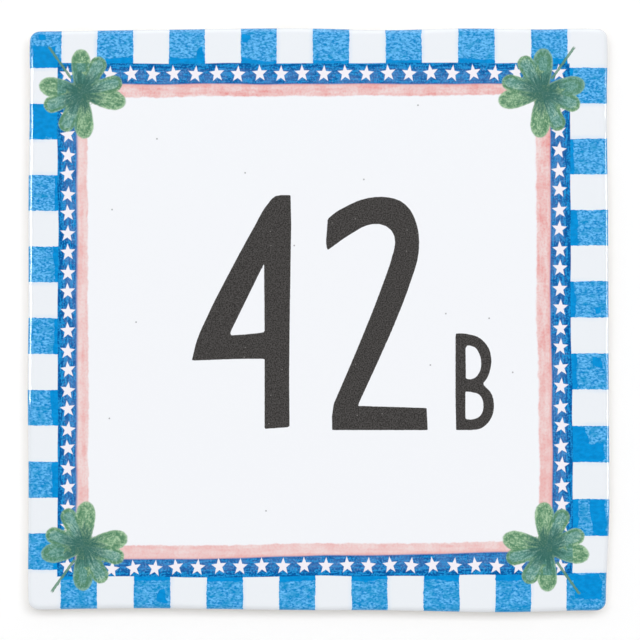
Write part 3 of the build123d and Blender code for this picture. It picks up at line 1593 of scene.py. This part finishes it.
@dataclass
class Shell:
    """A surface that is gathered from patches and then made into one mesh."""

    points: List[np.ndarray] = field(default_factory=list)
    flat: List[np.ndarray] = field(default_factory=list)
    faces: List[Tuple[np.ndarray, Finish, Chart]] = field(default_factory=list)

    def add_points(self, points: np.ndarray, flat: np.ndarray) -> np.ndarray:
        """Adds vertices.

        Args:
            points: An array of places whose last axis holds X, Y and Z.
            flat: The same places unrolled onto the face's plane, for the texture map.

        Returns:
            The new vertices' numbers, in the same arrangement.
        """
        first = sum(len(block) for block in self.points)
        self.points.append(points.reshape(-1, 3))
        self.flat.append(flat.reshape(-1, 2))
        return np.arange(first, first + len(self.points[-1])).reshape(points.shape[:-1])

    def add_quads(self, rows: np.ndarray, finish: Finish, chart: Chart, closed: bool = False) -> None:
        """Adds the quads between rows of vertex numbers.

        Args:
            rows: Vertex numbers, row by row. Seen from outside, the next row is on the right of the way
                along a row.
            finish: Their material slot.
            chart: Their chart.
            closed: Whether each row runs round to its start.
        """
        rows = np.column_stack([rows, rows[:, :1]]) if closed else rows
        corners = (rows[:-1, :-1], rows[1:, :-1], rows[1:, 1:], rows[:-1, 1:])
        self.faces.append((np.stack([c.ravel() for c in corners], axis=1), finish, chart))

    def mesh(self, name: str) -> bpy.types.Mesh:
        """Makes the mesh with its finishes and its texture map.

        Args:
            name: The mesh's name.

        Returns:
            The new mesh.
        """
        points = np.vstack(self.points)
        sizes = np.concatenate([np.full(len(f), f.shape[1]) for f, _, _ in self.faces])
        corners = np.concatenate([f.ravel() for f, _, _ in self.faces])
        finishes = np.concatenate([np.full(len(f), finish) for f, finish, _ in self.faces])
        charts = np.concatenate([np.full(f.size, chart) for f, _, chart in self.faces])
        mesh = bpy.data.meshes.new(name)
        mesh.vertices.add(len(points))
        mesh.vertices.foreach_set("co", points.ravel())
        mesh.loops.add(len(corners))
        mesh.loops.foreach_set("vertex_index", corners)
        mesh.polygons.add(len(sizes))
        mesh.polygons.foreach_set("loop_start", np.cumsum(sizes) - sizes)
        mesh.polygons.foreach_set("material_index", finishes)
        mesh.polygons.foreach_set("use_smooth", np.ones(len(sizes), dtype=bool))
        mesh.uv_layers.new(name="OFBake").data.foreach_set("uv", self.texture_map(corners, charts).ravel())
        mesh.update(calc_edges=True)
        return mesh

    def texture_map(self, corners: np.ndarray, charts: np.ndarray) -> np.ndarray:
        """Places each face corner on the texture square.

        Args:
            corners: Vertex number of each face corner.
            charts: Chart of each face corner.

        Returns:
            Rows of two shares of the square.
        """
        flat = np.vstack(self.flat)[corners]
        placed = np.empty_like(flat)
        for chart in Chart:
            chosen = charts == chart
            low, high = chart.span
            least, most = flat[chosen].min(0), flat[chosen].max(0)
            placed[chosen] = low + (flat[chosen] - least) * (high - low) / (most - least).max()
        return placed


@dataclass(frozen=True)
class Rim:
    """Stations round the tile's widest line, counter-clockwise as the reader sees it.

    Each has its place in X and Z, the way out of the tile there and its share of the whole turn.
    """

    line: np.ndarray
    outward: np.ndarray
    share: np.ndarray

    corner_angles = np.radians([-135.0, -45.0, 45.0, 135.0])
    wave_counts = np.array([5, 9, 23, 37, 61])
    wave_sizes = np.array([0.25, 0.22, 0.2, 0.18, 0.15])
    digits = 5
    nudge = 0.05 * MM

    @classmethod
    def of_solid(cls, node: bpy.types.Object, steps: int, inset: float) -> Rim:
        """Lays the stations on the widest ring of the CAD solid.

        Args:
            node: The CAD solid.
            steps: How many stations each side has.
            inset: How far inside the ring they lie.

        Returns:
            The rim.
        """
        ring = cls.widest_ring(node)
        stations = cls.stations(ring, steps)
        ahead = ring.at(stations + cls.nudge) - ring.at(stations - cls.nudge)
        outward = np.column_stack([ahead[:, 1], -ahead[:, 0]]) / np.linalg.norm(ahead, axis=1)[:, None]
        return cls(ring.at(stations) - outward * inset, outward, stations / ring.length)

    @classmethod
    def widest_ring(cls, node: bpy.types.Object) -> SmoothLine:
        """The solid's vertices at the level that reaches farthest, in order round the tile.

        Levels and directions are rounded to a few digits, so that nearly equal ones count as one.

        Args:
            node: The CAD solid.

        Returns:
            A closed line through them.
        """
        count = len(node.data.vertices)
        places = np.empty(count * 3)
        node.data.vertices.foreach_get("co", places)
        places = places.reshape(count, 3)
        level, member = np.unique(np.round(places[:, 1], cls.digits), return_inverse=True)
        reach = np.zeros(len(level))
        np.maximum.at(reach, member, np.abs(places[:, 0]))
        ring = places[member == np.argmax(reach)][:, [0, 2]]
        _, order = np.unique(np.round(np.arctan2(ring[:, 1], ring[:, 0]), cls.digits), return_index=True)
        return SmoothLine(ring[order], closed=True)

    @classmethod
    def stations(cls, ring: SmoothLine, steps: int) -> np.ndarray:
        """Even lengths along each side of a ring, from the middle of one corner to that of the next.

        Args:
            ring: The closed line.
            steps: How many stations each side has.

        Returns:
            Lengths from the ring's start.
        """
        knots = ring.knots[:-1]
        corners = np.interp(cls.corner_angles, np.arctan2(knots[:, 1], knots[:, 0]), ring.start[:-1])
        ends = np.append(corners, corners[0] + ring.length)
        share = np.arange(steps) / steps
        return (ends[:-1, None] + np.diff(ends)[:, None] * share).ravel()

    def inside(self, lengths: np.ndarray) -> np.ndarray:
        """The line moved inwards by a length at each station."""
        return self.line - self.outward * lengths[:, None]

    def waves(self, phase: float) -> np.ndarray:
        """Slow random waves along the rim, between about -1 and 1: five sines of whole counts a turn."""
        turns = 2 * pi * self.share[:, None] * self.wave_counts
        return np.sin(turns + phase * self.wave_counts) @ self.wave_sizes


@dataclass(frozen=True)
class GlazedTile:
    """The whole tile as one closed surface: gently uneven face, rolled edge, glaze line, keyed back.

    Beads are lengths past the glaze line with the share of the glaze that has ended there. Arris cuts are
    lengths in front of the back plane with the share of the arris that is cut away there.
    """

    name: str = "number_tile_glazed"
    half_width: float = 75.0 * MM
    steps: int = 250
    rim_inset: float = 0.01 * MM
    roll: float = 1.5 * MM
    roll_change: float = 0.28 * MM
    roll_phase: float = 0.7
    roll_rings: int = 9
    draft: float = 0.35 / 9.0
    unevenness: float = 0.05 * MM
    broad_waves: Pair = (13.0 * MM, 16.0 * MM)
    broad_phases: Pair = (0.6, 1.1)
    fine_waves: Triple = (6.1 * MM, 7.7 * MM, 9.3 * MM)
    fine_share: float = 0.5
    glaze_line: float = 2.5 * MM
    glaze_sway: float = 0.5 * MM
    glaze_phase: float = 2.9
    glaze_step: float = 0.14 * MM
    side_shares: Sequence[float] = (0.25, 0.5, 0.75, 0.92)
    beads: Sequence[Pair] = ((-0.06 * MM, 0.2), (0.04 * MM, 0.75), (0.14 * MM, 1.0), (0.4 * MM, 1.0))
    glazed_beads: int = 2
    arris: float = 0.6 * MM
    arris_cuts: Sequence[Pair] = (
        (0.8 * MM, 0.0), (0.62 * MM, 0.06), (0.45 * MM, 0.2), (0.08 * MM, 0.54), (0.0, 0.72),
    )
    key_cells: int = 6
    key_margin: float = 9.0 * MM
    key_border: float = 2.0 * MM
    key_rib: float = 3.6 * MM
    key_depth: float = 0.9 * MM
    key_draft: float = 25.0
    key_soft: float = 0.3 * MM
    wall_lines: int = 5
    plan: PrintPlan = PrintPlan()

    def build(self, node: bpy.types.Object) -> bpy.types.Object:
        """Builds the tile round the CAD solid's own rim.

        Args:
            node: The CAD node that the tile stands for.

        Returns:
            The new object, dressed and in place.
        """
        front = min(corner[1] for corner in node.bound_box)
        rim = Rim.of_solid(node, self.steps, self.rim_inset)
        radius = self.roll + self.roll_change * rim.waves(self.roll_phase)
        shell = Shell()
        inner = self.add_face(shell, rim.inside(radius), front)
        last = self.add_edge(shell, rim, radius, front, inner)
        self.add_back(shell, last)
        mesh = shell.mesh(self.name)
        self.dress(mesh, np.vstack(shell.points)[:, [0, 2]] / MM)
        tile = bpy.data.objects.new(self.name, mesh)
        bpy.context.scene.collection.objects.link(tile)
        return tile

    def dress(self, mesh: bpy.types.Mesh, places: np.ndarray) -> None:
        """Gives the mesh its two finishes and the numbers that the print reads.

        Args:
            mesh: The tile's mesh.
            places: Rows of X and Z in millimetres, one for each vertex.
        """
        for name, values in self.plan.fields(places).items():
            mesh.attributes.new(name, "FLOAT", "POINT").data.foreach_set("value", values)
        for finish in (PrintedGlaze(), Biscuit()):
            mesh.materials.append(finish.material())

    def relief(self, flat: np.ndarray) -> np.ndarray:
        """How far the face lies behind its highest place: broad and fine crossed waves, never before it.

        Args:
            flat: Places whose last axis holds X and Z.

        Returns:
            Depths in the same arrangement.
        """
        x, z = np.moveaxis(flat, -1, 0)
        (wide, high), (first, second) = self.broad_waves, self.broad_phases
        across, up, beat = self.fine_waves
        broad = np.sin(x / wide + first) * np.sin(z / high + second)
        fine = np.sin(x / across - z / up) * np.sin(z / beat)
        peak = 1.0 + self.fine_share
        return self.unevenness * (peak + broad + self.fine_share * fine) / peak

    def add_face(self, shell: Shell, border: np.ndarray, front: float) -> np.ndarray:
        """Adds the printed face inside the rolled edge.

        Each place on the face is blended from the four border lines: the two upright ones, plus the two level
        ones, less the blend of the four corners, which would otherwise count twice.

        Args:
            shell: The surface that is being gathered.
            border: The face's border at the rim's stations.
            front: Y of the face's highest place.

        Returns:
            Vertex numbers round the face's border, in the order of the rim's stations.
        """
        count = self.steps
        bottom, right, top, left = (np.roll(border, -side * count, axis=0)[: count + 1] for side in range(4))
        top, left = top[::-1], left[::-1]
        u = (np.arange(count + 1) / count)[None, :, None]
        v = (np.arange(count + 1) / count)[:, None, None]
        level = (1 - v) * bottom[None] + v * top[None]
        upright = (1 - u) * left[:, None] + u * right[:, None]
        corners = (1 - v) * ((1 - u) * bottom[0] + u * bottom[-1]) + v * ((1 - u) * top[0] + u * top[-1])
        flat = level + upright - corners
        depth = front + self.relief(flat)
        numbers = shell.add_points(np.stack([flat[..., 0], depth, flat[..., 1]], axis=-1), flat)
        shell.add_quads(numbers.T, Finish.GLAZE, Chart.FACE)
        return self.round_border(numbers)

    def round_border(self, numbers: np.ndarray) -> np.ndarray:
        """The numbers round the border of a grid, counter-clockwise from its lower left corner."""
        return np.concatenate([numbers[0, :-1], numbers[:-1, -1], numbers[-1, :0:-1], numbers[:0:-1, 0]])

    def add_edge(
        self, shell: Shell, rim: Rim, radius: np.ndarray, front: float, inner: np.ndarray
    ) -> np.ndarray:
        """Adds the rolled edge, the side with its glaze line and the back arris, ring by ring.

        The roll is a quarter circle about a centre one radius inside the rim. The side then leans in towards
        the back, and steps in at the glaze line, where the glaze ends in a soft bead.

        Args:
            shell: The surface that is being gathered.
            rim: The tile's widest line.
            radius: Radius of the roll at each station.
            front: Y of the face's highest place.
            inner: Vertex numbers round the face's border.

        Returns:
            Vertex numbers of the last ring, on the back plane.
        """
        border = rim.inside(radius)
        angles = np.linspace(0.0, pi / 2, self.roll_rings + 1)[1:, None]
        roll_out = radius * (np.sin(angles) - 1.0)
        roll_deep = front + radius * (1.0 - np.cos(angles)) + self.relief(border) * np.cos(angles)
        side_out, side_deep = self.side(rim, front + radius)
        out = np.vstack([roll_out, side_out])
        deep = np.vstack([roll_deep, side_deep])
        places = rim.line + rim.outward * out[..., None]
        outward_steps = np.diff(out, axis=0, prepend=-radius[None])
        lengths = np.cumsum(np.hypot(outward_steps, np.diff(deep, axis=0, prepend=front)), axis=0)
        flat = border + rim.outward * lengths[..., None]
        rings = shell.add_points(np.stack([places[..., 0], deep, places[..., 1]], axis=-1), flat)
        glazed = self.roll_rings + len(self.side_shares) + self.glazed_beads
        shell.add_quads(np.vstack([inner, rings[:glazed]]), Finish.GLAZE, Chart.FACE, closed=True)
        shell.add_quads(rings[glazed - 1 :], Finish.CLAY, Chart.FACE, closed=True)
        return rings[-1]

    def side(self, rim: Rim, edge: np.ndarray) -> Tuple[np.ndarray, np.ndarray]:
        """The rings of the side, from the roll to the back plane.

        They go by shares of the way to the wavy glaze line, then by beads past it, then by arris cuts.

        Args:
            rim: The tile's widest line.
            edge: Y where the roll ends, at each station.

        Returns:
            How far each ring lies outside the rim, and its Y.
        """
        glaze = -self.glaze_line + self.glaze_sway * rim.waves(self.glaze_phase)
        beads, cuts = np.array(self.beads), np.array(self.arris_cuts)
        shares = np.array(self.side_shares)[:, None]
        to_back = np.broadcast_to(-cuts[:, :1], (len(cuts), len(glaze)))
        deep = np.vstack([edge + (glaze - edge) * shares, glaze + beads[:, :1], to_back])
        ended = np.concatenate([np.zeros(len(shares)), beads[:, 1], np.ones(len(cuts))])
        cut = np.concatenate([np.zeros(len(shares) + len(beads)), cuts[:, 1]])
        steps_in = self.glaze_step * ended + self.arris * cut
        return -self.draft * (deep - edge) - steps_in[:, None], deep

    def key_lines(self) -> np.ndarray:
        """Grid lines across the back: some at each pocket wall, and one in the middle of each pocket.

        Returns:
            Places of the lines, the same for X and Z.
        """
        half = self.half_width - self.key_margin
        width = (2 * half - (self.key_cells - 1) * self.key_rib) / self.key_cells
        starts = -half + np.arange(self.key_cells) * (width + self.key_rib)
        wall_width = self.key_depth * tan(radians(self.key_draft))
        wall = np.linspace(-self.key_soft, wall_width + self.key_soft, self.wall_lines)
        cell = np.concatenate([wall, [width / 2], (width - wall)[::-1]])
        border = half + self.key_border
        return np.concatenate([[-border], (starts[:, None] + cell).ravel(), [border]])

    def key_profile(self) -> np.ndarray:
        """How deep a pocket is along one axis, from 0 on the ribs to 1 on the floors, with soft edges.

        Returns:
            The share of the depth at each grid line.
        """
        wall = np.linspace(0.0, 1.0, self.wall_lines)
        rise = wall**2 * (3 - 2 * wall)
        cells = np.tile(np.concatenate([rise, [1.0], rise[::-1]]), self.key_cells)
        return np.concatenate([[0.0], cells, [0.0]])

    def add_back(self, shell: Shell, outer: np.ndarray) -> None:
        """Adds the keyed back and joins it to the edge's last ring.

        The back is a grid whose depth is the pocket depth times the profiles along both axes. A strip of
        triangles runs round between its border and the ring: each border line of the one takes the nearest
        vertex of the other, by its share of the way round.

        Args:
            shell: The surface that is being gathered.
            outer: Vertex numbers of the edge's last ring.
        """
        lines = self.key_lines()
        profile = self.key_profile()
        x, z = np.meshgrid(lines, lines)
        depth = -self.key_depth * profile[:, None] * profile
        grid = shell.add_points(np.stack([x, depth, z], axis=-1), np.stack([x, z], axis=-1))
        shell.add_quads(grid, Finish.CLAY, Chart.BACK)
        border = self.round_border(grid)
        share = (lines[:-1] - lines[0]) / (lines[-1] - lines[0])
        inner_share = (np.arange(4)[:, None] + share).ravel()
        middle = (np.arange(len(outer)) + 0.5) / self.steps
        switch = (inner_share + np.append(inner_share[1:], 4.0)) / 2
        beside = border[np.searchsorted(switch, middle) % len(border)]
        outward = np.column_stack([outer, beside, np.roll(outer, -1)])
        apex = outer[np.searchsorted(middle, switch) % len(outer)]
        inward = np.column_stack([apex, border, np.roll(border, -1)])
        shell.faces.append((np.vstack([outward, inward]), Finish.CLAY, Chart.BACK))


@dataclass(frozen=True)
class Lamp:
    """A rectangular lamp that looks at the tile, placed by angles as seen from the tile's face."""

    name: str
    sideways: float
    raised: float
    distance: float
    width: float
    height: float
    power: float
    lights: bool = True
    shines: bool = True
    aim: Triple = (0.0, 0.0, 0.0)

    def build(self) -> bpy.types.Object:
        """Makes the lamp, turned to its aim.

        Returns:
            The lamp.
        """
        data = bpy.data.lights.new(self.name, "AREA")
        data.shape = "RECTANGLE"
        data.size, data.size_y = self.width, self.height
        data.energy = self.power
        lamp = bpy.data.objects.new(self.name, data)
        side, up = radians(self.sideways), radians(self.raised)
        towards = Vector((sin(side) * cos(up), -cos(side) * cos(up), sin(up)))
        lamp.location = Vector(self.aim) + towards * self.distance
        lamp.rotation_euler = towards.to_track_quat("Z", "Y").to_euler()
        lamp.visible_diffuse = self.lights
        lamp.visible_glossy = self.shines
        lamp.visible_camera = False
        bpy.context.scene.collection.objects.link(lamp)
        return lamp


@dataclass(frozen=True)
class StageWhite:
    """White wall and floor that keep the tile's shadow near it and turn plain white farther away.

    They show to the camera alone, on their front side, so that light passes them.
    """

    glow: float = 0.09
    near: float = 0.13
    far: float = 0.3

    def material(self, name: str) -> bpy.types.Material:
        """Makes the stage's material.

        Args:
            name: The material's name.

        Returns:
            The new material.
        """
        material = bpy.data.materials.new(name)
        material.use_nodes = True
        tree = material.node_tree
        tree.nodes.clear()
        board = Board(tree)
        geometry = board.node("ShaderNodeNewGeometry")
        shown = board.seen() * (1.0 - Signal(board, geometry.outputs["Backfacing"]))
        x, y, z = board.place().split()
        away = (x * x + y * y + z * z).apply("SQRT")
        glow = away.rise(self.near / MM, self.far / MM) * (1.0 - self.glow) + self.glow
        light = board.node("ShaderNodeEmission", {"Strength": glow})
        matt = board.node("ShaderNodeBsdfDiffuse", {"Color": Colour.STAGE.rgba})
        both = board.node("ShaderNodeAddShader")
        tree.links.new(matt.outputs[0], both.inputs[0])
        tree.links.new(light.outputs[0], both.inputs[1])
        clear = board.node("ShaderNodeBsdfTransparent")
        mixed = board.node("ShaderNodeMixShader", {0: shown})
        tree.links.new(clear.outputs[0], mixed.inputs[1])
        tree.links.new(both.outputs[0], mixed.inputs[2])
        output = board.node("ShaderNodeOutputMaterial")
        tree.links.new(mixed.outputs[0], output.inputs["Surface"])
        return material


@dataclass(frozen=True)
class Studio:
    """Wall, floor, soft light and the camera straight in front of the tile."""

    reach: float = 3.0
    wall_gap: float = 0.3 * MM
    floor_drop: float = 120.0 * MM
    horizon: Pair = (-0.05, 0.05)
    front_light: float = 0.65
    back_light: float = 0.95
    lean: float = 0.22
    side_lean: float = 0.3
    front_shine: float = 0.06
    back_shine: float = 0.9
    camera_distance: float = 1.2
    frame_width: float = 165.5 * MM
    aim: Pair = (0.465 * MM, -0.05 * MM)
    lamps: Sequence[Lamp] = (
        Lamp("key", 3.0, 10.5, distance=3.0, width=1.8, height=0.85, power=38.3, shines=False),
        Lamp("overhead", 0.0, 72.0, distance=1.2, width=1.2, height=1.1, power=6.6, lights=False),
        Lamp(
            "left_strip", -66.0, 0.0, distance=0.6, width=0.28, height=0.13, power=2.2, lights=False,
            aim=(0.0, 0.0, 34.0 * MM),
        ),
        Lamp(
            "right_strip", 84.0, 0.0, distance=0.6, width=0.12, height=0.17, power=1.1, lights=False,
            aim=(0.0, 0.0, -4.0 * MM),
        ),
    )

    def build(self, front: float) -> None:
        """Builds the whole studio.

        Args:
            front: Y of the tile's face.
        """
        self.build_planes()
        for lamp in self.lamps:
            lamp.build()
        self.build_world()
        self.build_camera(front)
        bpy.context.scene.view_settings.view_transform = "Standard"

    def build_planes(self) -> None:
        """Makes the wall behind the tile and the floor below it."""
        far = self.reach
        wall, floor = self.wall_gap, -self.floor_drop
        corners = {
            "wall": [(-far, wall, -far), (far, wall, -far), (far, wall, far), (-far, wall, far)],
            "floor": [(-far, -far, floor), (far, -far, floor), (far, far, floor), (-far, far, floor)],
        }
        for name, places in corners.items():
            mesh = bpy.data.meshes.new(name)
            mesh.from_pydata(places, [], [(0, 1, 2, 3)])
            mesh.materials.append(StageWhite().material(f"stage_{name}"))
            plane = bpy.data.objects.new(name, mesh)
            bpy.context.scene.collection.objects.link(plane)

    def build_world(self) -> None:
        """Makes the sky: white where it is seen, and otherwise a soft light.

        The light is brighter behind the tile than before it, brightest from the left and weaker from below.
        The glaze mirrors the same room, in which the reader's side is dark.
        """
        world = bpy.data.worlds.new("even_sky")
        world.use_nodes = True
        bpy.context.scene.world = world
        board = Board(world.node_tree)
        heading = Signal(board, board.node("ShaderNodeTexCoord").outputs["Generated"])
        side, back, up = heading.split()
        behind = back.rise(*self.horizon)
        back_light = self.back_light * (1.0 - self.side_lean * side)
        light = self.front_light + behind * (back_light - self.front_light)
        light = light * (1.0 + self.lean * up.apply("MINIMUM", 0.0))
        shine = self.front_shine + behind * (self.back_shine - self.front_shine) * (1.0 + self.lean * up)
        strength = light + board.seen() * (1.0 - light) + board.ray("Glossy") * (shine - light)
        sky = world.node_tree.nodes["Background"]
        sky.inputs["Color"].default_value = (1.0, 1.0, 1.0, 1.0)
        board.feed(sky.inputs["Strength"], strength)

    def build_camera(self, front: float) -> None:
        """Makes the camera, level and square to the face.

        Args:
            front: Y of the tile's face.
        """
        data = bpy.data.cameras.new("camera")
        data.lens = data.sensor_width * self.camera_distance / self.frame_width
        camera = bpy.data.objects.new("camera", data)
        camera.location = (self.aim[0], front - self.camera_distance, self.aim[1])
        camera.rotation_euler = (pi / 2, 0.0, 0.0)
        bpy.context.scene.collection.objects.link(camera)
        bpy.context.scene.camera = camera


def main() -> None:
    """Loads the frame, builds the tile and the studio, and notes the sizes."""
    logging.basicConfig(level=logging.INFO, format="%(message)s")
    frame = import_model()
    node = frame["nodes"][NODE]
    tile = GlazedTile().build(node)
    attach(tile, "root")
    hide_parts(NODE)
    LOG.info("%s: %d vertices, %d faces", tile.name, len(tile.data.vertices), len(tile.data.polygons))
    Studio().build(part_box(NODE)[0].y)


if __name__ == "__main__":
    main()
